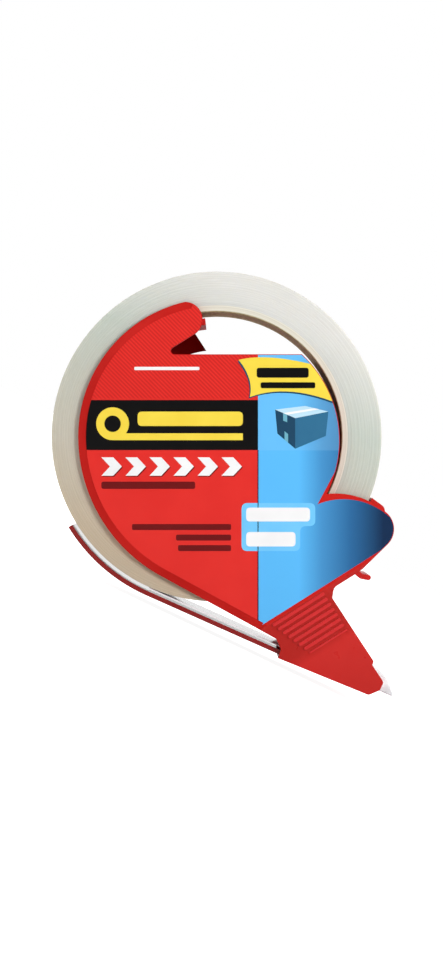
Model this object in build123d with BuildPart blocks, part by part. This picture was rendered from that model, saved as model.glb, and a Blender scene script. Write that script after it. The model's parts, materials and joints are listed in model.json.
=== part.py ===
from build123d import *

import os
from math import acos, atan2, cos, degrees, hypot, pi, radians, sin, sqrt

# A clip-on packing-tape dispenser with its roll, in millimetres.
#
# Every profile is drawn in face coordinates: the origin is the roll's axis, u runs to the right along
# the label and v runs up it. Depth is measured from the middle of the tape, positive towards the label.
# The dispenser stands on its nose heel and on the belly of its band, so the face plane is tipped by the
# stance angle and the floor is Z = 0.

# Tape, core and roll
tape_width = 48.0
core_bore_radius = 38.1
core_wall = 1.9
film_length = 35_000.0
wound_pitch = 0.083
leader_thickness = 0.2
running_gap = 0.15

# Moulding
sheet = 2.0
wall = 1.6
side_clearance = 0.4
hub_radius = 36.2
hub_wall_thickness = 2.0
band_gap = 1.25
band_thickness = 1.4
draw_angle = 24.0
label_thickness = 0.12

# Panel outline
panel_radius = 42.1
lower_arc_radius = 48.3
lower_edge_angle = 28.6
arm_angle = 103.2
arm_lower_angle = 31.8
panel_top = 25.0
grip_angle = 32.2
rim_width = 2.3
lobe_rim_width = 1.2
rim_drop = 1.0

# Nose
nose_heel = (18.7, -67.4)
underside_angle = 22.0

# Grip ribs on both cheeks
rib_count = 7
rib_width = 1.0
rib_height = 0.45

# Cutter teeth
tooth_pitch = 1.6
tooth_depth = 1.1
tooth_flat = 0.12

# Snap fingers of the hub: the angle each one is centred on
latch_angles = {"upper": 150.0, "lower": 255.0, "right": 345.0}
latch_half_angle = 12.0
latch_side_gap = 1.0
latch_root_depth = -4.3
latch_root_gap = 0.3
latch_lip_radius = 39.3
latch_lip_thickness = 1.5
bearing_bead_angles = (110.0, 180.0, 218.0, 300.0, 322.0)
bearing_bead_radius = 1.5

# Sizes that follow from the ones above
core_radius = core_bore_radius + core_wall
roll_radius = sqrt(core_radius**2 + film_length * wound_pitch / pi)
band_inner_radius = roll_radius + band_gap
belly_radius = band_inner_radius + band_thickness
half_inner = tape_width / 2 + side_clearance
half_outer = half_inner + sheet
hub_inner_radius = hub_radius - hub_wall_thickness
heel_reach = hypot(*nose_heel)
heel_swing = degrees(atan2(nose_heel[0], -nose_heel[1]))
stance = degrees(acos(belly_radius / heel_reach)) - heel_swing


def polar(radius, angle):
    """Point at a radius and angle about the roll's axis."""
    return (radius * cos(radians(angle)), radius * sin(radians(angle)))


def moved(point, distance, angle):
    """Point a distance away from another, in the given direction."""
    step = polar(distance, angle)
    return (point[0] + step[0], point[1] + step[1])


def crossing(point_a, angle_a, point_b, angle_b):
    """Where a line through one point meets a line through another."""
    run = (point_b[0] - point_a[0], point_b[1] - point_a[1])
    turn = sin(radians(angle_b - angle_a))
    reach = (run[0] * sin(radians(angle_b)) - run[1] * cos(radians(angle_b))) / turn
    return moved(point_a, reach, angle_a)


def between(start, end, share):
    """Point on the line from start to end."""
    return (start[0] + (end[0] - start[0]) * share, start[1] + (end[1] - start[1]) * share)


def heading(start, end):
    """Direction of the line from start to end."""
    return degrees(atan2(end[1] - start[1], end[0] - start[0]))


def on_draw_line(along, off_axis):
    """Point on a line parallel to the free tape, off_axis from the roll's axis."""
    foot = polar(off_axis, -90 - draw_angle)
    return moved(foot, along, -draw_angle)


def standing_x(point):
    """Horizontal distance of a face point from the roll's axis once the dispenser stands."""
    return point[0] * cos(radians(stance)) - point[1] * sin(radians(stance))


# The free tape is a straight tangent of the roll. The cutter sits on its sticky side.
leader_inner = roll_radius + running_gap
leader_outer = leader_inner + leader_thickness
cutter_lower = leader_inner - running_gap
cutter_tip = on_draw_line(81.3, cutter_lower)

# The face plane: centred so that the whole dispenser stands over the origin
hub_x = (roll_radius - standing_x(cutter_tip)) / 2
face = Plane(
    origin=(hub_x, 0, belly_radius),
    x_dir=(cos(radians(stance)), 0, sin(radians(stance))),
    z_dir=(0, -1, 0),
)


def on_face(point, depth):
    """Global position of a face point at a depth."""
    return face.from_local_coords((point[0], point[1], depth))


def ring_sector(inner, outer, start, sweep):
    """Part of a flat ring about the roll's axis."""
    with BuildSketch() as sector:
        with BuildLine():
            CenterArc((0, 0), outer, start, sweep)
            Line(polar(outer, start + sweep), polar(inner, start + sweep))
            CenterArc((0, 0), inner, start, sweep)
            Line(polar(inner, start), polar(outer, start))
        make_face()
    return sector.sketch


# ---------------------------------------------------------------- panel outline
arm_start = polar(panel_radius, arm_angle)
arm_tip = (-4.25, 35.6)
arm_end = (-6.3, 31.4)
notch = crossing(arm_end, arm_lower_angle, (0, panel_top), 0)
lower_arc_centre = (lower_arc_radius - panel_radius, 0)
lower_arc_end = moved(lower_arc_centre, lower_arc_radius, -90 - lower_edge_angle)

# The edge inside the core is an arc set a little right of the roll's axis
bore_edge_centre = (1.8, -1.2)
bore_edge_radius = 35.65
bore_edge_top = heading(bore_edge_centre, (25.9, panel_top))
bore_edge_bottom = -27.1
lobe_root = moved(bore_edge_centre, bore_edge_radius, bore_edge_bottom)
lobe_top = (42.6, -18.2)
lobe_shoulder = (51.5, -22.95)
lobe_nose = (53.95, -27.6)
lobe_heel = (51.9, -32.9)
lobe_lower_angle = 44.3

# The panel ends at a joint line that runs beside the label's lower right edge
label_corner = (13.8, -57.3)
joint_inset = 0.9
joint_point = moved(label_corner, joint_inset, grip_angle - 90)
joint_left = crossing(joint_point, grip_angle, lower_arc_end, -lower_edge_angle)
joint_right = crossing(joint_point, grip_angle, lobe_heel, lobe_lower_angle)

notch_bend = 1.1

with BuildSketch() as panel_shape:
    with BuildLine():
        ThreePointArc(arm_start, arm_tip, arm_end)
        FilletPolyline(
            arm_end,
            notch,
            moved(bore_edge_centre, bore_edge_radius, bore_edge_top),
            radius=notch_bend,
        )
        CenterArc(bore_edge_centre, bore_edge_radius, bore_edge_top, bore_edge_bottom - bore_edge_top)
        ThreePointArc(lobe_root, lobe_top, lobe_shoulder)
        ThreePointArc(lobe_shoulder, lobe_nose, lobe_heel)
        Polyline(lobe_heel, joint_right, joint_left, lower_arc_end)
        CenterArc(lower_arc_centre, lower_arc_radius, -90 - lower_edge_angle, lower_edge_angle - 90)
        CenterArc((0, 0), panel_radius, 180, arm_angle - 180)
    make_face()

# ---------------------------------------------------------------- front panel
with BuildPart() as front_panel:
    with BuildSketch(face.offset(half_inner)):
        add(panel_shape.sketch)
    extrude(amount=sheet)
    panel_front = front_panel.faces().sort_by(Axis.Y)[0]
    rim_edges = [
        panel_front.edges().sort_by_distance(on_face(point, half_outer))[0]
        for point in (
            polar(panel_radius, (arm_angle + 180) / 2),
            moved(lower_arc_centre, lower_arc_radius, 180 + lower_edge_angle),
            between(lower_arc_end, joint_left, 0.5),
        )
    ]
    chamfer(rim_edges, length=rim_width, length2=rim_drop, reference=panel_front)
front_panel.part.label = "front_panel"

# ---------------------------------------------------------------- nose cheeks
slot_tip = crossing(lower_arc_end, -lower_edge_angle, (18.1, 0), 90)
throat_root = (42.1, -41.9)
throat_bend = (35.7, -45.9)
nose_shoulder = (35.2, -49.1)
nose_step = (47.8, -68.3)
nose_step_inner = (47.4, -69.5)
cheek_corners = [
    (joint_left, 0),
    (joint_right, 0),
    ((44.5, -40.2), 0),
    (throat_root, 0),
    (throat_bend, 2.4),
    (nose_shoulder, 0.8),
    (nose_step, 0.6),
    (nose_step_inner, 0),
    ((50.8, -74.7), 1.2),
    ((49.6, -77.2), 1.2),
    ((46.2, -78.6), 1.2),
    (nose_heel, 0),
    ((19.6, -64.6), 1.5),
    (slot_tip, 0),
]
rib_first = ((17.1, -57.5), (32.8, -47.6))
rib_last = ((28.2, -65.7), (39.8, -58.7))

with BuildSketch() as cheek_shape:
    with BuildLine():
        FilletPolyline(
            [point for point, bend in cheek_corners],
            radius=[bend for point, bend in cheek_corners],
            close=True,
        )
    make_face()

with BuildSketch() as grip_shape:
    for number in range(rib_count + 1):
        left_end = between(rib_first[0], rib_last[0], number / rib_count)
        right_end = between(rib_first[1], rib_last[1], number / rib_count)
        length = hypot(right_end[0] - left_end[0], right_end[1] - left_end[1])
        width = rib_width if number < rib_count else rib_width / 2
        with Locations(between(left_end, right_end, 0.5)):
            SlotOverall(length, width, rotation=grip_angle)

# The cutter's pegs sit in blind sockets in both cheeks
cutter_peg = (46.6, -72.6)
peg_radius = 1.2
peg_clearance = 0.05
peg_length = 1.2


def make_cheek(side):
    """Side wall of the nose: side is 1 at the label and -1 at the back."""
    with BuildPart() as cheek:
        with BuildSketch(face.offset(side * half_inner)):
            add(cheek_shape.sketch)
        extrude(amount=side * sheet)
        with BuildSketch(face.offset(side * half_outer)):
            add(grip_shape.sketch)
        extrude(amount=side * rib_height)
        with BuildSketch(face.offset(side * half_inner)):
            with Locations(cutter_peg):
                Circle(peg_radius + peg_clearance)
        extrude(amount=side * (peg_length + peg_clearance), mode=Mode.SUBTRACT)
    return cheek.part


nose_cheek_front = make_cheek(1)
nose_cheek_front.label = "nose_cheek_front"
nose_cheek_rear = make_cheek(-1)
nose_cheek_rear.label = "nose_cheek_rear"

# ---------------------------------------------------------------- hub
hub_start = 95.5
hub_sweep = 302.5
hub_rear = -half_inner
flange_inner_radius = 27.6
flange_thickness = 1.6
flange_relief = 3.2
# One end of the flange is trimmed along a slanting line
flange_end = (-4.95, 29.9)
flange_end_angle = 33.0
flange_end_cut = (12, 30)

with BuildPart() as hub_wall:
    with BuildSketch(face.offset(hub_rear)):
        add(ring_sector(hub_inner_radius, hub_radius, hub_start, hub_sweep))
        for angle in bearing_bead_angles:
            with Locations(polar(hub_radius, angle)):
                Circle(bearing_bead_radius)
    extrude(amount=2 * half_inner)
    with BuildSketch(face.offset(hub_rear)):
        for angle in latch_angles.values():
            half_slot = latch_half_angle + latch_side_gap
            add(ring_sector(hub_inner_radius - 1, hub_radius + 1, angle - half_slot, 2 * half_slot))
    extrude(amount=latch_root_depth - hub_rear, mode=Mode.SUBTRACT)
hub_wall.part.label = "hub_wall"

with BuildPart() as hub_flange:
    with BuildSketch(face.offset(hub_rear)):
        add(ring_sector(flange_inner_radius, hub_inner_radius, hub_start, hub_sweep))
        for angle in latch_angles.values():
            half_slot = latch_half_angle + 2 * latch_side_gap
            relief_radius = hub_inner_radius - flange_relief
            add(
                ring_sector(relief_radius, hub_radius, angle - half_slot, 2 * half_slot),
                mode=Mode.SUBTRACT,
            )
        with Locations(flange_end):
            Rectangle(
                *flange_end_cut,
                rotation=flange_end_angle,
                align=(Align.MIN, Align.CENTER),
                mode=Mode.SUBTRACT,
            )
    extrude(amount=flange_thickness)
hub_flange.part.label = "hub_flange"

# ---------------------------------------------------------------- snap fingers
latch_chamfer = 0.9
latch_length = latch_root_depth - latch_root_gap - hub_rear
latches = []
for place, angle in latch_angles.items():
    start = angle - latch_half_angle
    with BuildPart() as latch:
        with BuildSketch(face.offset(hub_rear)):
            add(ring_sector(hub_inner_radius, hub_radius, start, 2 * latch_half_angle))
        extrude(amount=latch_length)
        with BuildSketch(face.offset(hub_rear)):
            add(ring_sector(hub_inner_radius, latch_lip_radius, start, 2 * latch_half_angle))
        extrude(amount=-latch_lip_thickness)
        lip_corner = latch.faces().sort_by(Axis.Y)[-1].edges()
        outer_edge = lip_corner.sort_by_distance(on_face(polar(latch_lip_radius, angle), hub_rear))[0]
        chamfer(outer_edge, length=latch_chamfer)
    latch.part.label = f"latch_{place}"
    latches.append(latch.part)

# ---------------------------------------------------------------- ribs behind the panel
rib_depth = 7.0
rib_sheet = 1.4
rib_centre = (0, -6)
rib_ring_radius = 6.0

with BuildPart() as panel_ribs:
    with BuildSketch(face.offset(half_inner)):
        Circle(hub_inner_radius)
        with Locations((0, hub_radius)):
            Rectangle(2 * hub_radius, 2 * (hub_radius - panel_top + rib_sheet), mode=Mode.SUBTRACT)
        with BuildSketch(mode=Mode.INTERSECT):
            with Locations(rib_centre):
                Rectangle(2 * hub_radius, rib_sheet)
                Rectangle(rib_sheet, 3 * hub_radius)
                Circle(rib_ring_radius)
                Circle(rib_ring_radius - rib_sheet, mode=Mode.SUBTRACT)
    extrude(amount=-rib_depth)
panel_ribs.part.label = "panel_ribs"

# ---------------------------------------------------------------- walls between the two sides
guard_path = [(46.9, -19.3), (50.4, -21.9), (50.9, -30.8), (44.0, -39.3)]
guard_bends = [1.2, 5.0]
roll_guard_gap = 0.6

with BuildPart() as roll_guard:
    with BuildSketch(face.offset(-half_inner)):
        with BuildLine():
            FilletPolyline(guard_path, radius=guard_bends)
        trace(line_width=wall)
        Circle(roll_radius + roll_guard_gap, mode=Mode.SUBTRACT)
    extrude(amount=2 * half_inner)
roll_guard.part.label = "roll_guard"

# The wall of the throat ends at the top in a hooked lip that turns outwards
lip_tip = (46.2, -42.9)
lip_bend = (44.0, -42.5)
throat_top = (42.2, -40.8)
lip_root = between(lip_bend, throat_top, 0.5)
throat_path = [lip_root, throat_top, (34.9, -45.3), (34.2, -49.0)]
throat_bends = [1.0, 2.6]
lip_bend_radius = 0.9

with BuildPart() as throat_wall:
    with BuildSketch(face.offset(-half_inner)):
        with BuildLine():
            FilletPolyline(throat_path, radius=throat_bends)
        trace(line_width=wall)
    extrude(amount=2 * half_inner)
throat_wall.part.label = "throat_wall"

with BuildPart() as throat_lip:
    with BuildSketch(face.offset(-half_inner)):
        with BuildLine():
            FilletPolyline([lip_tip, lip_bend, lip_root], radius=lip_bend_radius)
        trace(line_width=wall)
        with Locations(lip_tip):
            Circle(wall / 2)
    extrude(amount=2 * half_inner)
throat_lip.part.label = "throat_lip"

# The nose's upper wall starts just below the throat and ends at the step above the cutter
nose_wall_angle = heading(nose_shoulder, nose_step)
nose_wall_start = moved(nose_shoulder, 0.8, nose_wall_angle)
nose_wall_end = moved(nose_step_inner, 0.1, 180)

with BuildPart() as nose_top_wall:
    with BuildSketch(face.offset(-half_inner)):
        with BuildLine():
            Polyline(
                nose_wall_start,
                moved(nose_step, -0.6, nose_wall_angle),
                nose_wall_end,
                moved(nose_wall_end, wall, nose_wall_angle - 150),
                moved(nose_wall_start, wall, nose_wall_angle - 90),
                close=True,
            )
        make_face()
    extrude(amount=2 * half_inner)
nose_top_wall.part.label = "nose_top_wall"

# The floor is thicker at the heel, where the band springs from it
floor_length = 27.5
floor_root_thickness = 2.4
floor_root_length = 1.2
floor_taper_end = 3.0
floor_normal = 90 - underside_angle
floor_end = moved(nose_heel, floor_length, -underside_angle)
floor_taper_start = moved(nose_heel, floor_root_length, -underside_angle)

with BuildPart() as nose_floor:
    with BuildSketch(face.offset(-half_inner)):
        with BuildLine():
            Polyline(
                nose_heel,
                floor_end,
                moved(floor_end, wall, floor_normal),
                moved(moved(nose_heel, floor_taper_end, -underside_angle), wall, floor_normal),
                moved(floor_taper_start, floor_root_thickness, floor_normal),
                moved(nose_heel, floor_root_thickness, floor_normal),
                close=True,
            )
        make_face()
    extrude(amount=2 * half_inner)
nose_floor.part.label = "nose_floor"

# ---------------------------------------------------------------- brake band
# A springy strip that runs straight out of the nose floor, then round the roll
band_root = 44.1
band_end_angle = -148.6
band_sweep = -90 - draw_angle - band_end_angle

with BuildPart() as brake_band:
    with BuildSketch(face.offset(-tape_width / 2)):
        with BuildLine():
            Polyline(
                on_draw_line(0, belly_radius),
                on_draw_line(band_root, belly_radius),
                on_draw_line(band_root, band_inner_radius),
                on_draw_line(0, band_inner_radius),
                close=True,
            )
        make_face()
        add(ring_sector(band_inner_radius, belly_radius, band_end_angle, band_sweep))
    extrude(amount=tape_width)
brake_band.part.label = "brake_band"

# ---------------------------------------------------------------- cutter
cutter_corners = [
    cutter_tip,
    (52.95, -76.4),
    (51.9, -73.8),
    (50.3, -72.5),
    (46.8, -69.9),
    (44.6, -70.4),
    on_draw_line(72.8, cutter_lower),
]
cutter_thickness = 6.0
tooth_count = int(2 * half_inner / tooth_pitch)
half_gap = (tooth_pitch - tooth_flat) / 2

# The gaps between the teeth are cut square to the free tape, from a plane whose y axis points outwards
tooth_plane = Plane(
    origin=on_face(cutter_tip, 0),
    x_dir=face.z_dir,
    z_dir=on_face((0, 0), 0) - on_face(polar(1, -90 - draw_angle), 0),
)

with BuildPart() as cutter_blade:
    with BuildSketch(face.offset(-half_inner)):
        with BuildLine():
            Polyline(cutter_corners, close=True)
        make_face()
    extrude(amount=2 * half_inner)
    for side in (1, -1):
        with BuildSketch(face.offset(side * half_inner)):
            with Locations(cutter_peg):
                Circle(peg_radius)
        extrude(amount=side * peg_length)
    with BuildSketch(tooth_plane):
        with GridLocations(tooth_pitch, 1, tooth_count, 1):
            Triangle(
                a=2 * half_gap,
                b=hypot(half_gap, tooth_depth),
                c=hypot(half_gap, tooth_depth),
                rotation=180,
                align=(Align.CENTER, Align.MIN),
            )
    extrude(amount=cutter_thickness, both=True, mode=Mode.SUBTRACT)
cutter_blade.part.label = "cutter_blade"

# ---------------------------------------------------------------- label
label_margin = 0.2
label_rim = rim_width + 0.1
label_top_angle = arm_angle - 2
label_reach = 60
# The label keeps clear of the lobe's upper edge by a rim that narrows to nothing at the lobe's nose
rim_corner = (30.7, -20.6)
rim_corner_angle = 62.0
rim_middle = (lobe_top[0], lobe_top[1] - lobe_rim_width)
rim_end = (53.5, -25.3)

with BuildPart() as label:
    with BuildSketch(face.offset(half_outer)):
        add(panel_shape.sketch)
        offset(amount=-label_margin, mode=Mode.REPLACE)
        with BuildSketch(mode=Mode.INTERSECT):
            with BuildLine():
                Polyline(
                    moved(lower_arc_end, label_rim, 90 - lower_edge_angle),
                    moved(joint_left, label_rim, 90 - lower_edge_angle),
                    label_corner,
                    moved(label_corner, label_reach, grip_angle),
                    (label_reach, label_reach),
                    (0, label_reach),
                    polar(panel_radius - label_rim, label_top_angle),
                )
                CenterArc((0, 0), panel_radius - label_rim, label_top_angle, 180 - label_top_angle)
                CenterArc(
                    lower_arc_centre,
                    lower_arc_radius - label_rim,
                    180,
                    90 - lower_edge_angle,
                )
            make_face()
        with BuildLine():
            ThreePointArc(rim_corner, rim_middle, rim_end)
            Polyline(
                rim_end,
                (label_reach, rim_end[1]),
                moved(rim_corner, label_reach, rim_corner_angle),
                rim_corner,
            )
        make_face(mode=Mode.SUBTRACT)
    extrude(amount=label_thickness)
label.part.label = "label"

# ---------------------------------------------------------------- roll and free tape
with BuildPart() as core:
    with BuildSketch(face.offset(-tape_width / 2)):
        Circle(core_radius)
        Circle(core_bore_radius, mode=Mode.SUBTRACT)
    extrude(amount=tape_width)
core.part.label = "core"

with BuildPart() as tape_roll:
    with BuildSketch(face.offset(-tape_width / 2)):
        Circle(roll_radius)
        Circle(core_radius, mode=Mode.SUBTRACT)
    extrude(amount=tape_width)
tape_roll.part.label = "tape_roll"

leader_end = 81.0

with BuildPart() as tape_leader:
    with BuildSketch(face.offset(-tape_width / 2)):
        with BuildLine():
            Polyline(
                on_draw_line(0, leader_inner),
                on_draw_line(leader_end, leader_inner),
                on_draw_line(leader_end, leader_outer),
                on_draw_line(0, leader_outer),
                close=True,
            )
        make_face()
    extrude(amount=tape_width)
tape_leader.part.label = "tape_leader"

# ---------------------------------------------------------------- files
pieces = [
    front_panel.part,
    nose_cheek_front,
    nose_cheek_rear,
    hub_wall.part,
    hub_flange.part,
    *latches,
    panel_ribs.part,
    roll_guard.part,
    throat_wall.part,
    throat_lip.part,
    nose_top_wall.part,
    nose_floor.part,
    brake_band.part,
    cutter_blade.part,
    label.part,
    core.part,
    tape_roll.part,
    tape_leader.part,
]
os.makedirs("parts", exist_ok=True)
for piece in pieces:
    export_step(piece, f"parts/{piece.label}.step")
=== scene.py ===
"""Looks for the clip-on packing-tape dispenser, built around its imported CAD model.

The printed face is drawn in face coordinates, in millimetres: u runs to the right along the face and
v up it from the roll's axis, and depth is positive towards the label. on_face() turns them into the
row frame.
"""

import json
import math

import bmesh
import bpy
from mathutils import Matrix, Vector


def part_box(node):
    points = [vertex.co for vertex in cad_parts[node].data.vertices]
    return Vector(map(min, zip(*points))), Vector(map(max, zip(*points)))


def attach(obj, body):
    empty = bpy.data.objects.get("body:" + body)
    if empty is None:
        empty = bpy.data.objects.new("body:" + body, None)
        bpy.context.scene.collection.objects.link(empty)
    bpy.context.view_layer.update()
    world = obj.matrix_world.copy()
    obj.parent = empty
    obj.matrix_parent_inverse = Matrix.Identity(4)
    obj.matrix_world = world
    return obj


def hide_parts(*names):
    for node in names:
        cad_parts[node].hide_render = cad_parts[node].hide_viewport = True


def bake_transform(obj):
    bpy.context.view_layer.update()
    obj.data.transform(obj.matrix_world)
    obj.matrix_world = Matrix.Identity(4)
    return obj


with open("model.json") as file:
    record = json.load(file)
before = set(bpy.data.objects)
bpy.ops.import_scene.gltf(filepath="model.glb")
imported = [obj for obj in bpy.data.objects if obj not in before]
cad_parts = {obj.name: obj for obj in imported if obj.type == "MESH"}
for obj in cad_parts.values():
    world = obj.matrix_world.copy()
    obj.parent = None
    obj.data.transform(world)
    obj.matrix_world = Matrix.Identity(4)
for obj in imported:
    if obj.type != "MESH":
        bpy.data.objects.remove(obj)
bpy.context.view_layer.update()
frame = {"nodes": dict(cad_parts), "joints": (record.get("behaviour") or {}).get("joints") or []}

MM = 0.001
STANCE = math.radians(25.36)  # how far the face is turned from upright when the dispenser stands

nodes = frame["nodes"]
joints = {joint["name"]: joint for joint in frame["joints"]}
axis_point = Vector(joints["roll_spin"]["pos_m"])
u_dir = Vector((math.cos(STANCE), 0, math.sin(STANCE)))
v_dir = Vector((-math.sin(STANCE), 0, math.cos(STANCE)))
y_dir = Vector((0, 1, 0))

label_front = -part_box("label")[0].y / MM
label_thickness = (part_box("label")[1].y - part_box("label")[0].y) / MM
tape_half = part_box("tape_roll")[1].y / MM
roll_radius = (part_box("tape_roll")[1].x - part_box("tape_roll")[0].x) / 2 / MM
core_radius = (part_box("core")[1].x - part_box("core")[0].x) / 2 / MM
core_wall = 1.9
bore_radius = core_radius - core_wall
cheek_front = -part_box("nose_cheek_front")[0].y / MM


def on_face(u, v, depth):
    """Row-frame point of a face point, given in millimetres."""
    return axis_point + (u_dir * u + v_dir * v - y_dir * depth) * MM


# ---------------------------------------------------------------- outlines
def polar(radius, angle, centre=(0, 0)):
    """Point at a radius and angle in degrees."""
    turn = math.radians(angle)
    return (centre[0] + radius * math.cos(turn), centre[1] + radius * math.sin(turn))


def circle(centre, radius, steps=40):
    """Closed round outline."""
    return [polar(radius, 360 * i / steps, centre) for i in range(steps)]


def bow(start, middle, end, steps=14):
    """Curved edge from start to just before end, through middle."""
    control = [2 * middle[i] - (start[i] + end[i]) / 2 for i in (0, 1)]
    points = []
    for step in range(steps):
        t = step / steps
        points.append(
            tuple(start[i] * (1 - t) ** 2 + control[i] * 2 * t * (1 - t) + end[i] * t**2 for i in (0, 1))
        )
    return points


def rectangle(left, bottom, right, top):
    """Plain rectangle."""
    return [(left, bottom), (right, bottom), (right, top), (left, top)]


def rounded(corners, radius, steps=8):
    """Closed outline with every corner rounded, the inner ones too."""
    outline = []
    for i, corner in enumerate(corners):
        here = Vector(corner)
        before = Vector(corners[i - 1])
        after = Vector(corners[(i + 1) % len(corners)])
        start = here + (before - here).normalized() * radius
        end = here + (after - here).normalized() * radius
        for step in range(steps + 1):
            t = step / steps
            outline.append(tuple(start * (1 - t) ** 2 + here * 2 * t * (1 - t) + end * t**2))
    return outline


# ---------------------------------------------------------------- mesh helpers
def mesh_object(name, build):
    """Object with a new mesh that build(bm) fills in."""
    bm = bmesh.new()
    build(bm)
    bmesh.ops.recalc_face_normals(bm, faces=bm.faces)
    mesh = bpy.data.meshes.new(name)
    bm.to_mesh(mesh)
    bm.free()
    made = bpy.data.objects.new(name, mesh)
    bpy.context.scene.collection.objects.link(made)
    return made


def plate(name, outline, low, high):
    """Flat plate of an outline on the face, between two depths."""

    def build(bm):
        back = [bm.verts.new(on_face(u, v, low)) for u, v in outline]
        front = [bm.verts.new(on_face(u, v, high)) for u, v in outline]
        bm.faces.new(back)
        bm.faces.new(front)
        for i in range(len(outline)):
            j = (i + 1) % len(outline)
            bm.faces.new((back[i], back[j], front[j], front[i]))

    return mesh_object(name, build)


def lathe(name, profile, segments=240):
    """Closed ring: a profile of (radius, depth) points turned about the roll's axis."""

    def build(bm):
        rings = []
        for step in range(segments):
            turn = 360 * step / segments
            rings.append([bm.verts.new(on_face(*polar(radius, turn), depth)) for radius, depth in profile])
        for step in range(segments):
            here, beyond = rings[step], rings[(step + 1) % segments]
            for i in range(len(profile)):
                j = (i + 1) % len(profile)
                bm.faces.new((here[i], here[j], beyond[j], beyond[i]))

    return mesh_object(name, build)


def shade_smooth(made, angle=30):
    """Smooth shading over edges flatter than the angle."""
    for polygon in made.data.polygons:
        polygon.use_smooth = True
    made.data.set_sharp_from_angle(angle=math.radians(angle))


def soften(node, width, segments=3):
    """Round a CAD node's sharp edges a little, as a moulding's are."""
    made = nodes[node]
    bevel = made.modifiers.new("edge_rounding", "BEVEL")
    bevel.width = width * MM
    bevel.segments = segments
    bevel.limit_method = "ANGLE"
    bevel.angle_limit = math.radians(38)
    bevel.use_clamp_overlap = False
    bevel.harden_normals = True
    shade_smooth(made, 38)


# ---------------------------------------------------------------- material helpers
def srgb(red, green, blue):
    """Linear colour from 0 to 255 display values."""

    def linear(value):
        share = value / 255
        return share / 12.92 if share <= 0.04045 else ((share + 0.055) / 1.055) ** 2.4

    return (linear(red), linear(green), linear(blue), 1.0)


RANGE_SOCKETS = ("From Min", "From Max", "To Min", "To Max")


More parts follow.
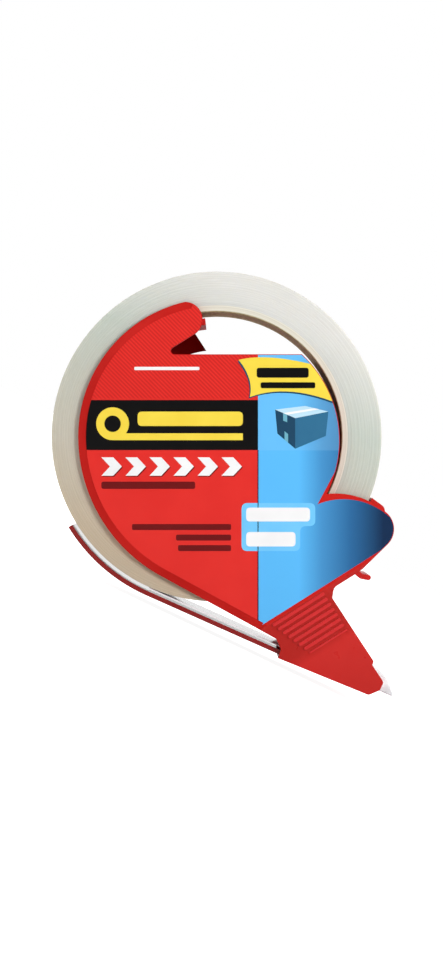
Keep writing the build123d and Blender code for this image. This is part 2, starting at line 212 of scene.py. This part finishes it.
class Shader:
    """A Principled material with short calls for the nodes that these materials need."""

    def __init__(self, name, colour, roughness, **sockets):
        self.material = bpy.data.materials.new(name)
        self.material.use_nodes = True
        self.tree = self.material.node_tree
        self.surface = self.tree.nodes["Principled BSDF"]
        self.surface.inputs["Base Color"].default_value = colour
        self.surface.inputs["Roughness"].default_value = roughness
        for socket, value in sockets.items():
            self.surface.inputs[socket.replace("_", " ")].default_value = value

    def node(self, kind, **settings):
        made = self.tree.nodes.new(kind)
        for key, value in settings.items():
            setattr(made, key, value)
        return made

    def link(self, source, target):
        self.tree.links.new(source, target)

    def place(self):
        """Position in the row frame, in metres."""
        return self.node("ShaderNodeTexCoord").outputs["Object"]

    def math(self, operation, first, second=None, third=None):
        made = self.node("ShaderNodeMath", operation=operation)
        for socket, value in zip(made.inputs, (first, second, third)):
            if value is None:
                continue
            if isinstance(value, (int, float)):
                socket.default_value = value
            else:
                self.link(value, socket)
        return made.outputs[0]

    def along(self, direction, origin=(0, 0, 0)):
        """Distance in millimetres from an origin along a direction of the row frame."""
        shifted = self.node("ShaderNodeVectorMath", operation="SUBTRACT")
        self.link(self.place(), shifted.inputs[0])
        shifted.inputs[1].default_value = origin
        dot = self.node("ShaderNodeVectorMath", operation="DOT_PRODUCT")
        self.link(shifted.outputs["Vector"], dot.inputs[0])
        dot.inputs[1].default_value = Vector(direction) / MM
        return dot.outputs["Value"]

    def noise(self, per_mm, detail=3.0, stretch=(1, 1, 1)):
        """Noise with about this many cells in a millimetre."""
        mapping = self.node("ShaderNodeMapping")
        self.link(self.place(), mapping.inputs["Vector"])
        mapping.inputs["Scale"].default_value = stretch
        noise = self.node("ShaderNodeTexNoise")
        noise.inputs["Scale"].default_value = per_mm / MM
        noise.inputs["Detail"].default_value = detail
        self.link(mapping.outputs["Vector"], noise.inputs["Vector"])
        return noise.outputs["Fac"]

    def radius(self):
        """Distance in millimetres from the roll's axis."""
        across = self.math("POWER", self.along(u_dir, axis_point), 2)
        up = self.math("POWER", self.along(v_dir, axis_point), 2)
        return self.math("SQRT", self.math("ADD", across, up))

    def rings(self, per_mm, detail):
        """Noise that changes only with the distance from the roll's axis."""
        noise = self.node("ShaderNodeTexNoise", noise_dimensions="1D")
        noise.inputs["Scale"].default_value = per_mm
        noise.inputs["Detail"].default_value = detail
        noise.inputs["Roughness"].default_value = 0.7
        self.link(self.radius(), noise.inputs["W"])
        return noise.outputs["Fac"]

    def ramp(self, factor, stops):
        """Colour from a value, through (position, colour) stops."""
        ramp = self.node("ShaderNodeValToRGB")
        elements = ramp.color_ramp.elements
        elements[0].position, elements[0].color = stops[0]
        elements[1].position, elements[1].color = stops[-1]
        for position, colour in stops[1:-1]:
            elements.new(position).color = colour
        self.link(factor, ramp.inputs["Fac"])
        return ramp.outputs["Color"]

    def scaled(self, factor, low, high, new_low, new_high):
        """Value mapped from one range onto another, held at its ends."""
        mapped = self.node("ShaderNodeMapRange")
        self.link(factor, mapped.inputs["Value"])
        for socket, value in zip(RANGE_SOCKETS, (low, high, new_low, new_high)):
            mapped.inputs[socket].default_value = value
        return mapped.outputs["Result"]

    def mixed(self, factor, first, second):
        """Mix of two colours, by the mix node's own numbers for its colour sockets."""
        factor_in, first_in, second_in, colour_out = 0, 6, 7, 2
        mix = self.node("ShaderNodeMix", data_type="RGBA")
        self.link(factor, mix.inputs[factor_in])
        for number, value in ((first_in, first), (second_in, second)):
            if isinstance(value, tuple):
                mix.inputs[number].default_value = value
            else:
                self.link(value, mix.inputs[number])
        return mix.outputs[colour_out]

    def colour(self, source):
        self.link(source, self.surface.inputs["Base Color"])

    def roughness(self, factor, low, high):
        self.link(self.scaled(factor, 0.3, 0.7, low, high), self.surface.inputs["Roughness"])

    def bump(self, height, distance_mm, strength=1.0):
        bump = self.node("ShaderNodeBump")
        bump.inputs["Strength"].default_value = strength
        bump.inputs["Distance"].default_value = distance_mm * MM
        self.link(height, bump.inputs["Height"])
        self.link(bump.outputs["Normal"], self.surface.inputs["Normal"])


def cover(made, material):
    """Gives an object one material."""
    made.data.materials.clear()
    made.data.materials.append(material)


# ---------------------------------------------------------------- materials
RED = srgb(205, 38, 33)
RED_DEEP = srgb(193, 31, 27)
# painted shade: a darker copy of the red plastic for the panel ribs and hub flange, which lie in shade
# inside the hub
SHADE_RED = srgb(150, 18, 16)
SHADE_RED_DEEP = srgb(120, 12, 11)
# painted shade: a darker copy of the red plastic for the band, whose near edge lies in shadow under the
# roll
BAND_RED_SHADED = srgb(148, 31, 28)
BAND_RED_SHADED_DEEP = srgb(136, 26, 23)
LABEL_RED = srgb(228, 48, 42)
LABEL_RED_DARK = srgb(223, 44, 39)
BLUE_LIGHT = srgb(92, 187, 248)
BLUE_MIDDLE = srgb(70, 146, 203)
BLUE_DEEP = srgb(44, 104, 156)
NAVY = srgb(17, 44, 78)
SATIN = (0.27, 0.35)
MATT = (0.5, 0.62)
LAMINATE = {"Specular_IOR_Level": 0.15, "Coat_Weight": 0.08, "Coat_Roughness": 0.12}

# Wound film: painted light and shade over the end of the roll, warm grey at its foot to near white at its
# top, as light from above falls
FILM_LIGHT_SLANT = math.radians(65)
FILM_PAINTED_LIGHT_TONES = [
    (0.08, (197, 182, 158)),
    (0.31, (198, 193, 178)),
    (0.69, (194, 202, 192)),
    (0.93, (222, 221, 216)),
]
RING_CONTRAST = 5
SEAM_PITCH = 110  # of the slanting seam in the core

# Grip ribs of the nose, placed by their distance across the ribs from the roll's axis; they place the
# painted shade among the ribs and the painted highlight on their tops
RIB_HEIGHT = 0.45
RIB_SLANT = math.radians(32.2)
RIBS_START = 56.5
NOSE_END = 93

# Layout of the print
BANNER_TOP = 11.1
BANNER_BOTTOM = -4.1
BLUE_LEFT = 12.6
LOBE_REACH = 54.0
TONE_LINE = -4.3
STRIPE_PITCH = 0.9
LAYER = 0.03
PRINT_REACH = 70


def mould_texture(shader, gloss):
    """Faint texture and slightly uneven gloss of a moulded surface."""
    shader.roughness(shader.noise(0.3, 3), *gloss)
    shader.bump(shader.noise(1.2, 2), 0.004)


def moulded_red(name, bright, deep, gloss=SATIN, level=0.22):
    """Red polypropylene of slightly uneven colour, satin unless another gloss is given."""
    shader = Shader(name, bright, 0.3, Specular_IOR_Level=level)
    cloud = shader.noise(0.06, 4)
    shader.colour(shader.ramp(cloud, [(0.35, deep), (0.65, bright)]))
    mould_texture(shader, gloss)
    return shader.material


def ribbed_red_painted_light():
    """Moulded red of the nose's front cheek with painted shade, darker among the grip ribs, and a painted
    highlight, paler on top of them.
    """
    shader = Shader("moulded_red_ribbed_painted_light", RED, 0.3, Specular_IOR_Level=0.25)
    across_ribs = shader.along(u_dir * math.sin(RIB_SLANT) - v_dir * math.cos(RIB_SLANT), axis_point)
    place = shader.scaled(across_ribs, RIBS_START, NOSE_END, 0, 1)
    # painted shade: darker among the grip ribs, lighter just past them and darker again towards the nose's
    # end
    ground = shader.ramp(
        place,
        [
            (0.0, srgb(190, 34, 29)),
            (0.06, srgb(180, 31, 24)),
            (0.36, srgb(182, 32, 25)),
            (0.45, srgb(203, 40, 35)),
            (1.0, srgb(188, 34, 28)),
        ],
    )
    # painted highlight: paler, pinker red on the raised tops of the ribs
    cheek_face = cheek_front - RIB_HEIGHT
    rib_top_highlight = shader.scaled(shader.along(-y_dir), cheek_face + 0.05, cheek_front - 0.05, 0, 0.75)
    shader.colour(shader.mixed(rib_top_highlight, ground, srgb(218, 47, 50)))
    mould_texture(shader, SATIN)
    return shader.material


def laminated_print(name, colour, shade):
    """Printed film on the face: satin laminate over very slightly mottled ink."""
    shader = Shader(name, colour, 0.3, **LAMINATE)
    shader.colour(shader.ramp(shader.noise(0.12, 4), [(0.3, shade), (0.7, colour)]))
    shader.bump(shader.noise(0.35, 3), 0.01)
    return shader.material


def printed_red():
    """Ground of the label: red with fine slanting pinstripes above the banner."""
    shader = Shader("printed_red", LABEL_RED, 0.3, **LAMINATE)
    height = shader.along(v_dir, axis_point)
    slant = shader.along((u_dir + v_dir).normalized(), axis_point)
    stripe = shader.math("FRACT", shader.math("MULTIPLY", slant, 1 / STRIPE_PITCH))
    lines = shader.scaled(shader.math("PINGPONG", stripe, 0.5), 0.2, 0.3, 0, 1)
    above = shader.scaled(height, BANNER_TOP, BANNER_TOP + 1, 0, 0.75)
    ground = shader.ramp(shader.noise(0.08, 4), [(0.3, LABEL_RED_DARK), (0.7, LABEL_RED)])
    shader.colour(shader.mixed(shader.math("MULTIPLY", lines, above), ground, srgb(197, 36, 32)))
    shader.bump(shader.noise(0.35, 3), 0.01)
    return shader.material


def printed_blue():
    """Blue side of the label: light at the left, navy at the lobe's far end, and lighter and greyer above
    the tone line, partly print and partly painted reflection.
    """
    shader = Shader("printed_blue", BLUE_LIGHT, 0.3, **LAMINATE)
    across = shader.scaled(shader.along(u_dir, axis_point), BLUE_LEFT, LOBE_REACH, 0, 1)
    tone = shader.ramp(
        across,
        [
            (0.0, BLUE_LIGHT),
            (0.3, BLUE_LIGHT),
            (0.47, BLUE_MIDDLE),
            (0.68, BLUE_DEEP),
            (0.92, NAVY),
            (1.0, NAVY),
        ],
    )
    # partly print, partly painted reflection: the blue is lighter and greyer above the tone line
    upper = shader.scaled(shader.along(v_dir, axis_point), TONE_LINE, TONE_LINE + 0.2, 0, 0.16)
    shader.colour(shader.mixed(upper, tone, srgb(150, 205, 235)))
    shader.bump(shader.noise(0.35, 3), 0.01)
    return shader.material


def wound_film():
    """Wound film: milky end grain with fine rings, painted shade warm grey at the foot to painted light
    near white at the top, and a rippled last turn.
    """
    shader = Shader("wound_film", srgb(222, 220, 210), 0.3, Subsurface_Weight=0.3, Subsurface_Scale=0.003)
    shader.surface.inputs["Subsurface Radius"].default_value = (1.0, 0.9, 0.7)
    rings = shader.rings(5.0, 6.0)
    # painted light and shade: the end grain is warm grey at the roll's foot and near white at its top,
    # along the slant from which light falls
    towards_light = u_dir * math.cos(FILM_LIGHT_SLANT) + v_dir * math.sin(FILM_LIGHT_SLANT)
    height = shader.scaled(shader.along(towards_light, axis_point), -roll_radius, roll_radius, 0, 1)

    def tones(lift):
        return [(place, srgb(*(value + lift for value in tone))) for place, tone in FILM_PAINTED_LIGHT_TONES]

    share = shader.scaled(rings, 0.35, 0.65, 0, 1)
    dark = shader.ramp(height, tones(-RING_CONTRAST))
    light = shader.ramp(height, tones(RING_CONTRAST))
    end_grain = shader.mixed(share, dark, light)
    ripples = shader.noise(0.16, 4, (1, 0.04, 1))
    last_turn = shader.ramp(ripples, [(0.35, srgb(203, 194, 175)), (0.65, srgb(217, 210, 195))])
    outside = shader.scaled(shader.radius(), roll_radius - 0.1, roll_radius - 0.03, 0, 1)
    shader.colour(shader.mixed(outside, end_grain, last_turn))
    shader.roughness(rings, 0.2, 0.32)
    shader.bump(rings, 0.04, 0.5)
    return shader.material


def cardboard():
    """Board core: kraft with fibres and a slanting seam inside, and pale ply rings at its ends, their
    paleness partly a painted highlight on the core's rim.
    """
    shader = Shader("cardboard", srgb(150, 138, 104), 0.85, Specular_IOR_Level=0.25, Sheen_Weight=0.1)
    fibres = shader.noise(1.2, 6, (1, 0.15, 1))
    angle = shader.math("ARCTAN2", shader.along(v_dir, axis_point), shader.along(u_dir, axis_point))
    turn = shader.math("MULTIPLY", angle, 0.5 / math.pi)
    climb = shader.math("MULTIPLY", shader.along(-y_dir), 1 / SEAM_PITCH)
    spiral = shader.math("FRACT", shader.math("ADD", turn, climb))
    seam = shader.scaled(shader.math("PINGPONG", spiral, 0.5), 0.0, 0.0035, 0.85, 0)
    end_face = shader.scaled(shader.radius(), bore_radius + 0.05, bore_radius + 0.3, 0, 1)
    kraft = shader.ramp(fibres, [(0.3, srgb(158, 147, 92)), (0.7, srgb(204, 190, 136))])
    # pale ends: the ply rings are the board's own, and part of their paleness is a painted highlight on the
    # core's rim
    plies_and_rim_highlight = shader.ramp(shader.rings(2.6, 2.0), [(0.35, srgb(206, 200, 182)), (0.65, srgb(232, 229, 216))])
    inside = shader.mixed(seam, kraft, srgb(84, 70, 44))
    shader.colour(shader.mixed(end_face, inside, plies_and_rim_highlight))
    shader.bump(fibres, 0.06)
    return shader.material


def clear_film():
    """Free stretch of tape: thin clear film with a lilac cast and faint lengthwise streaks; its near-white,
    nearly opaque colour is a painted reflection of the white surroundings.
    """
    # painted reflection: near white and nearly opaque for a clear film, standing for its bright grazing
    # reflection; the lilac cast is the film's own tint
    shader = Shader("clear_film", srgb(246, 232, 237), 0.06, Alpha=0.9, Specular_IOR_Level=0.6)
    streaks = shader.noise(0.8, 4, (0.05, 1, 0.05))
    shader.colour(shader.ramp(streaks, [(0.3, srgb(244, 228, 234)), (0.7, srgb(250, 238, 242))]))
    shader.roughness(streaks, 0.05, 0.08)
    return shader.material


def clear_cutter():
    """Clear styrene of the cutter, slightly milky."""
    shader = Shader("clear_cutter", srgb(248, 248, 250), 0.12, Alpha=0.6)
    haze = shader.noise(0.25, 4)
    shader.colour(shader.ramp(haze, [(0.3, srgb(243, 244, 247)), (0.7, srgb(253, 253, 254))]))
    shader.roughness(haze, 0.1, 0.2)
    shader.bump(shader.noise(2.0, 2), 0.006)
    return shader.material


red_plastic = moulded_red("moulded_red", RED, RED_DEEP)
# painted shade: darker red for parts lying in shade inside the hub
shaded_red_plastic = moulded_red("moulded_red_inside_shaded", SHADE_RED, SHADE_RED_DEEP, MATT, 0.15)
soft_red_plastic = moulded_red("moulded_red_soft", RED, RED_DEEP, (0.36, 0.44), 0.04)
matt_red_plastic = moulded_red("moulded_red_matt", RED, RED_DEEP, MATT, 0.15)
# painted shade: the band's red is a darker copy of the moulded red, for its shadow under the roll
polished_red_plastic = moulded_red("moulded_red_polished", BAND_RED_SHADED, BAND_RED_SHADED_DEEP, (0.02, 0.04))
label_red = printed_red()
label_blue = printed_blue()
ink_black = laminated_print("ink_black", srgb(9, 8, 9), srgb(6, 6, 7))
ink_white = laminated_print("ink_white", srgb(246, 246, 246), srgb(241, 241, 242))
ink_yellow = laminated_print("ink_yellow", srgb(246, 220, 78), srgb(241, 212, 70))
ink_dark_red = laminated_print("ink_dark_red", srgb(112, 16, 18), srgb(106, 14, 16))
ink_pale_blue = laminated_print("ink_pale_blue", srgb(196, 229, 244), srgb(182, 220, 238))
ink_carton_tape = laminated_print("ink_carton_tape", srgb(112, 178, 198), srgb(106, 172, 192))
ink_mid_blue = laminated_print("ink_mid_blue", srgb(52, 112, 148), srgb(48, 106, 142))
ink_deep_blue = laminated_print("ink_deep_blue", srgb(32, 72, 100), srgb(30, 68, 95))
ink_navy = laminated_print("ink_navy", srgb(36, 38, 66), srgb(32, 34, 60))
ink_sky = laminated_print("ink_sky", srgb(120, 204, 252), srgb(112, 199, 250))


# ---------------------------------------------------------------- patches of print
def label_block(low, high):
    """Copy of the label as a block between two depths."""
    block = nodes["label"].copy()
    block.data = nodes["label"].data.copy()
    block.name = "label_block"
    bpy.context.scene.collection.objects.link(block)
    block.parent = None
    middle = -(label_front - label_thickness / 2) * MM
    for vertex in block.data.vertices:
        vertex.co.y = -(high if vertex.co.y < middle else low) * MM
    return block


def trim_to_label(patch, low, high):
    """Cuts a patch off at the label's edge."""
    block = label_block(low - 1, high + 1)
    cut = patch.modifiers.new("trim", "BOOLEAN")
    cut.operation = "INTERSECT"
    cut.solver = "EXACT"
    cut.object = block
    evaluated = patch.evaluated_get(bpy.context.evaluated_depsgraph_get())
    trimmed = bpy.data.meshes.new_from_object(evaluated)
    patch.modifiers.clear()
    patch.data = trimmed
    bpy.data.objects.remove(block)


def printed(name, outline, layer, material, trim=False):
    """A patch of print on the label. Higher layers stand a little prouder and cover lower ones."""
    low = label_front - LAYER
    high = label_front + LAYER * layer
    patch = plate(name, outline, low, high)
    if trim:
        trim_to_label(patch, low, high)
    cover(patch, material)
    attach(patch, "frame")


# ---------------------------------------------------------------- print on the label
def print_grounds():
    """Black banner, blue side and the thin line at its left, all trimmed to the label."""
    line_half = 0.15
    banner = rectangle(-PRINT_REACH, BANNER_BOTTOM, BLUE_LEFT, BANNER_TOP)
    blue = rectangle(BLUE_LEFT, -PRINT_REACH, PRINT_REACH, PRINT_REACH)
    line = rectangle(BLUE_LEFT - line_half, -PRINT_REACH, BLUE_LEFT + line_half, BANNER_BOTTOM)
    printed("print_banner", banner, 1, ink_black, trim=True)
    printed("print_blue", blue, 1, label_blue, trim=True)
    printed("print_blue_line", line, 2, ink_navy, trim=True)


def print_flag():
    """Waving yellow flag across the top of the blue side, with a thin dark edge and two bars."""
    top_left, crest, top_right = (6.7, 23.3), (17.0, 24.0), (30.4, 21.6)
    low_right, low_middle, low_left = (38.0, 9.6), (23.0, 13.6), (10.1, 12.0)
    notch = (9.9, 17.6)
    outline = [
        *bow(low_left, notch, top_left),
        *bow(top_left, crest, top_right),
        (40, 20),
        *bow(low_right, low_middle, low_left),
    ]
    shadow = [(u - 0.35, v - 0.45) for u, v in outline]
    printed("print_flag_shadow", shadow, 2, ink_deep_blue, trim=True)
    printed("print_flag", outline, 3, ink_yellow, trim=True)
    printed("print_flag_bar_wide", rounded(rectangle(12.2, 17.9, 28.0, 20.9), 0.8), 4, ink_black)
    printed("print_flag_bar_low", rounded(rectangle(13.4, 14.7, 30.0, 16.5), 0.6), 4, ink_black)


def print_carton():
    """Small picture of a plain carton with a strip of tape over its top and down its side."""
    back_left, back, right, front = (17.8, 8.2), (26.9, 9.3), (34.0, 7.6), (23.9, 5.6)
    low_left, low_right, low_front = (18.5, 0.9), (33.2, 0.2), (23.9, -3.7)
    printed("print_carton_left", [back_left, low_left, low_front, front], 2, ink_deep_blue)
    printed("print_carton_right", [front, low_front, low_right, right], 2, ink_mid_blue)
    printed("print_carton_top", [back_left, front, right, back], 2, ink_pale_blue)

    def share(start, end, part):
        return tuple(start[i] + (end[i] - start[i]) * part for i in (0, 1))

    strip = [share(back_left, front, 0.4), share(back_left, front, 0.6)]
    strip += [share(back, right, 0.6), share(back, right, 0.4)]
    fall = [strip[0], strip[1], (strip[1][0], strip[1][1] - 2.3), (strip[0][0], strip[0][1] - 2.3)]
    printed("print_carton_tape", strip, 3, ink_white)
    printed("print_carton_tape_end", fall, 3, ink_carton_tape)
    rise = [share(low_left, low_front, 0.4), share(low_left, low_front, 0.6)]
    rise += [(rise[1][0], rise[1][1] + 2.6), (rise[0][0], rise[0][1] + 2.6)]
    printed("print_carton_tape_low", rise, 3, ink_carton_tape)


def print_roll_mark():
    """A roll with its strip of tape, and a plain bar, on the banner."""
    middle, size, strip_width, strip_end = (-31.6, 3.9), 5.0, 2.1, 8.0
    steps = 40
    strip_low = middle[1] - size
    leaving = -math.degrees(math.asin(1 - strip_width / size))
    turn = 270 - leaving
    roll_and_strip = [polar(size, leaving + turn * step / steps, middle) for step in range(steps + 1)]
    roll_and_strip += [(strip_end, strip_low), (strip_end, strip_low + strip_width)]
    printed("print_roll_mark", roll_and_strip, 2, ink_yellow)
    printed("print_roll_mark_hole", circle(middle, size / 2), 3, ink_black)
    printed("print_bar_banner", rounded(rectangle(-24.0, 3.2, strip_end, 7.6), 1.4), 2, ink_yellow)


def print_chevrons():
    """Row of white chevrons, each over a small dark shade."""
    first, pitch, top, height = -35.0, 7.3, -6.3, 5.6
    arm, point = 3.6, 2.6
    for number in range(6):
        left = first + pitch * number
        chevron = [
            (left, top),
            (left + arm, top),
            (left + arm + point, top - height / 2),
            (left + arm, top - height),
            (left, top - height),
            (left + point, top - height / 2),
        ]
        shade = [(u + 0.25, v - 0.3) for u, v in chevron]
        printed(f"print_chevron_shade_{number}", shade, 1, ink_dark_red)
        printed(f"print_chevron_{number}", chevron, 2, ink_white)


def print_bars():
    """Plain bars on the red ground."""
    printed("print_bar_under", rounded(rectangle(-35.0, -15.9, -6.5, -13.7), 0.7), 1, ink_dark_red)
    printed("print_bar_top", rounded(rectangle(-25.0, 20.2, -5.2, 21.2), 0.4), 1, ink_white)
    right, highest, pitch, half_height = 4.4, -27.5, 3.2, 0.9
    for number, left in enumerate((-25.7, -12.3, -11.7)):
        middle = highest - pitch * number
        bar = rounded(rectangle(left, middle - half_height, right, middle + half_height), 0.5)
        printed(f"print_bar_small_{number}", bar, 1, ink_dark_red)


def print_halo():
    """Two white bars in a pale halo, half on the red ground and half on the blue side."""
    halo = [(7.6, -20.2), (7.6, -34.8), (25.4, -34.8), (25.4, -27.2), (30.0, -27.2), (30.0, -20.2)]
    printed("print_halo", rounded(halo, 1.8), 2, ink_sky)
    printed("print_bar_white_upper", rounded(rectangle(9.0, -25.8, 28.4, -21.6), 1.2), 3, ink_white)
    printed("print_bar_white_lower", rounded(rectangle(9.0, -33.4, 24.0, -29.0), 1.2), 3, ink_white)


# ---------------------------------------------------------------- roll and core
def wound_roll():
    """The wound film as a turned ring whose end faces step in and out a little from turn to turn."""
    turns = 56
    ripple = 0.05

    def face_depth(share):
        wave = math.sin(share * 61) + 0.6 * math.sin(share * 143 + 1) + 0.4 * math.sin(share * 317 + 2)
        return tape_half - ripple + ripple * wave / 2

    radii = [core_radius + (roll_radius - core_radius) * i / turns for i in range(turns + 1)]
    front = [(radius, face_depth(i / turns)) for i, radius in enumerate(radii)]
    back = [(radius, -depth) for radius, depth in reversed(front)]
    roll = lathe("wound_film", front + back)
    shade_smooth(roll, 60)
    cover(roll, wound_film())
    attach(roll, "roll")
    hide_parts("tape_roll")


def board_core():
    """Cardboard core with softly worn rims."""
    wear = 0.25
    profile = [
        (bore_radius, -tape_half + wear),
        (bore_radius + wear, -tape_half),
        (core_radius, -tape_half),
        (core_radius, tape_half),
        (bore_radius + wear, tape_half),
        (bore_radius, tape_half - wear),
    ]
    core = lathe("board_core", profile)
    shade_smooth(core, 30)
    cover(core, cardboard())
    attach(core, "roll")
    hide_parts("core")


# ---------------------------------------------------------------- flexing members
def flexing(node, root, reach, direction, plastic):
    """Copy of a sprung CAD member that is fixed at its root.

    Its root end is stretched by reach along direction, to meet the member that it springs from.
    """
    root_zone, bend_length = 0.5 * MM, 4 * MM
    made = nodes[node].copy()
    made.data = nodes[node].data.copy()
    made.name = f"{node}_flexing"
    for key in list(made.keys()):
        if key.startswith("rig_"):
            del made[key]
    bpy.context.scene.collection.objects.link(made)
    made.parent = None
    step = Vector(direction).normalized()
    for vertex in made.data.vertices:
        if (vertex.co - Vector(root)).dot(step) > -root_zone:
            vertex.co += step * reach * MM
    shade_smooth(made, 38)
    cover(made, plastic)
    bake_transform(made)
    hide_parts(node)


def flexing_members():
    """The band under the roll and the hub's three snap latches."""
    root_gap = 0.3
    draw_angle = math.radians(24)
    draw_direction = u_dir * math.cos(draw_angle) - v_dir * math.sin(draw_angle)
    band_root = Vector(joints["band_flex"]["pos_m"])
    flexing("brake_band", band_root, root_gap, draw_direction, polished_red_plastic)
    for place in ("upper", "lower", "right"):
        joint = joints[f"latch_{place}_flex"]
        flexing(f"latch_{place}", joint["pos_m"], root_gap, -y_dir, red_plastic)


# ---------------------------------------------------------------- CAD nodes that keep their shape
def dress_cad_nodes():
    """Materials and rounded edges for the CAD nodes that are shown."""
    for node in (
        "nose_cheek_rear",
        "roll_guard",
        "throat_wall",
        "throat_lip",
        "nose_top_wall",
        "nose_floor",
    ):
        cover(nodes[node], red_plastic)
    cover(nodes["front_panel"], soft_red_plastic)
    cover(nodes["nose_cheek_front"], ribbed_red_painted_light())
    cover(nodes["hub_wall"], matt_red_plastic)
    # painted shade: the panel ribs and hub flange get the darker, shaded copy of the red plastic
    for node in ("panel_ribs", "hub_flange"):
        cover(nodes[node], shaded_red_plastic)
    cover(nodes["label"], label_red)
    cover(nodes["tape_leader"], clear_film())
    cover(nodes["cutter_blade"], clear_cutter())
    for node, width in (
        ("front_panel", 0.35),
        ("nose_cheek_front", 0.2),
        ("nose_cheek_rear", 0.2),
        ("throat_lip", 0.2),
        ("cutter_blade", 0.08),
    ):
        soften(node, width)


# ---------------------------------------------------------------- studio
def soft_light(name, place, aim, size, power):
    """Square soft box at a place, aimed at a point."""
    light = bpy.data.lights.new(name, "AREA")
    light.shape = "SQUARE"
    light.size = size
    light.energy = power
    made = bpy.data.objects.new(name, light)
    bpy.context.scene.collection.objects.link(made)
    made.location = place
    made.rotation_euler = (Vector(aim) - Vector(place)).to_track_quat("-Z", "Y").to_euler()


def studio():
    """Plain pale floor, white surroundings and three soft boxes.

    The floor lies low enough for the band to bend away from the roll above it.
    """
    floor_half = 8.0
    floor_level = -2.5 * MM
    paper_glow = 0.93

    def build(bm):
        corners = rectangle(-floor_half, -floor_half, floor_half, floor_half)
        bm.faces.new([bm.verts.new((x, y, floor_level)) for x, y in corners])

    floor = mesh_object("studio_floor", build)
    paper = Shader("pale_paper", srgb(225, 225, 225), 1.0, Specular_IOR_Level=0.0)
    paper.surface.inputs["Emission Color"].default_value = (1, 1, 1, 1)
    seen = paper.node("ShaderNodeLightPath").outputs["Is Camera Ray"]
    paper.link(paper.math("MULTIPLY", seen, paper_glow), paper.surface.inputs["Emission Strength"])
    paper.colour(paper.ramp(paper.noise(0.02, 2), [(0.3, srgb(222, 222, 222)), (0.7, srgb(228, 228, 228))]))
    cover(floor, paper.material)

    surroundings()
    centre = (0, 0, 0.05)
    for name, place, size, power in (
        ("key", (0.42, -0.72, 0.5), 0.35, 6.1),
        ("fill", (-0.8, -0.7, 0.35), 0.6, 2.1),
        ("back", (-0.3, 0.85, 0.5), 0.6, 4.0),
    ):
        soft_light(name, place, centre, size, power)


def surroundings():
    """White room: seen as white all round, but it lights the object less from the label's side.

    Its strength as a light follows the Y of the direction that it comes from.
    """
    label_side, far_side = -0.85, 0.7
    dimmest, brightest = 0.03, 1.0
    world = bpy.data.worlds.new("white_studio")
    world.use_nodes = True
    tree = world.node_tree
    lit = tree.nodes["Background"]
    seen = tree.nodes.new("ShaderNodeBackground")
    seen.inputs["Color"].default_value = (1, 1, 1, 1)
    direction = tree.nodes.new("ShaderNodeSeparateXYZ")
    tree.links.new(tree.nodes.new("ShaderNodeTexCoord").outputs["Generated"], direction.inputs[0])
    spread = tree.nodes.new("ShaderNodeMapRange")
    tree.links.new(direction.outputs["Y"], spread.inputs["Value"])
    for socket, value in zip(RANGE_SOCKETS, (label_side, far_side, dimmest, brightest)):
        spread.inputs[socket].default_value = value
    tree.links.new(spread.outputs["Result"], lit.inputs["Strength"])
    lit.inputs["Color"].default_value = (1, 1, 1, 1)
    choice = tree.nodes.new("ShaderNodeMixShader")
    tree.links.new(tree.nodes.new("ShaderNodeLightPath").outputs["Is Camera Ray"], choice.inputs[0])
    tree.links.new(lit.outputs[0], choice.inputs[1])
    tree.links.new(seen.outputs[0], choice.inputs[2])
    tree.links.new(choice.outputs[0], tree.nodes["World Output"].inputs["Surface"])
    bpy.context.scene.world = world


def camera():
    """Long lens square to the face and level with it, a little below the roll's axis."""
    picture_height = 291.8
    distance = 1350.0
    sensor = 36.0
    lens_place, aim_place = (2.3, -9.8), (1.5, -13.2)
    lens_point = on_face(*lens_place, label_front + distance)
    aim_point = on_face(*aim_place, label_front)
    data = bpy.data.cameras.new("camera")
    data.sensor_width = sensor
    data.lens = sensor * distance / picture_height
    data.clip_start = 0.05
    data.clip_end = 50
    made = bpy.data.objects.new("camera", data)
    bpy.context.scene.collection.objects.link(made)
    back = (lens_point - aim_point).normalized()
    right = v_dir.cross(back).normalized()
    up = back.cross(right)
    made.location = lens_point
    made.rotation_mode = "QUATERNION"
    made.rotation_quaternion = Matrix((right, up, back)).transposed().to_quaternion()
    bpy.context.scene.camera = made


dress_cad_nodes()
print_grounds()
print_flag()
print_carton()
print_roll_mark()
print_chevrons()
print_bars()
print_halo()
wound_roll()
board_core()
flexing_members()
studio()
camera()

bpy.context.scene.view_settings.view_transform = "Standard"
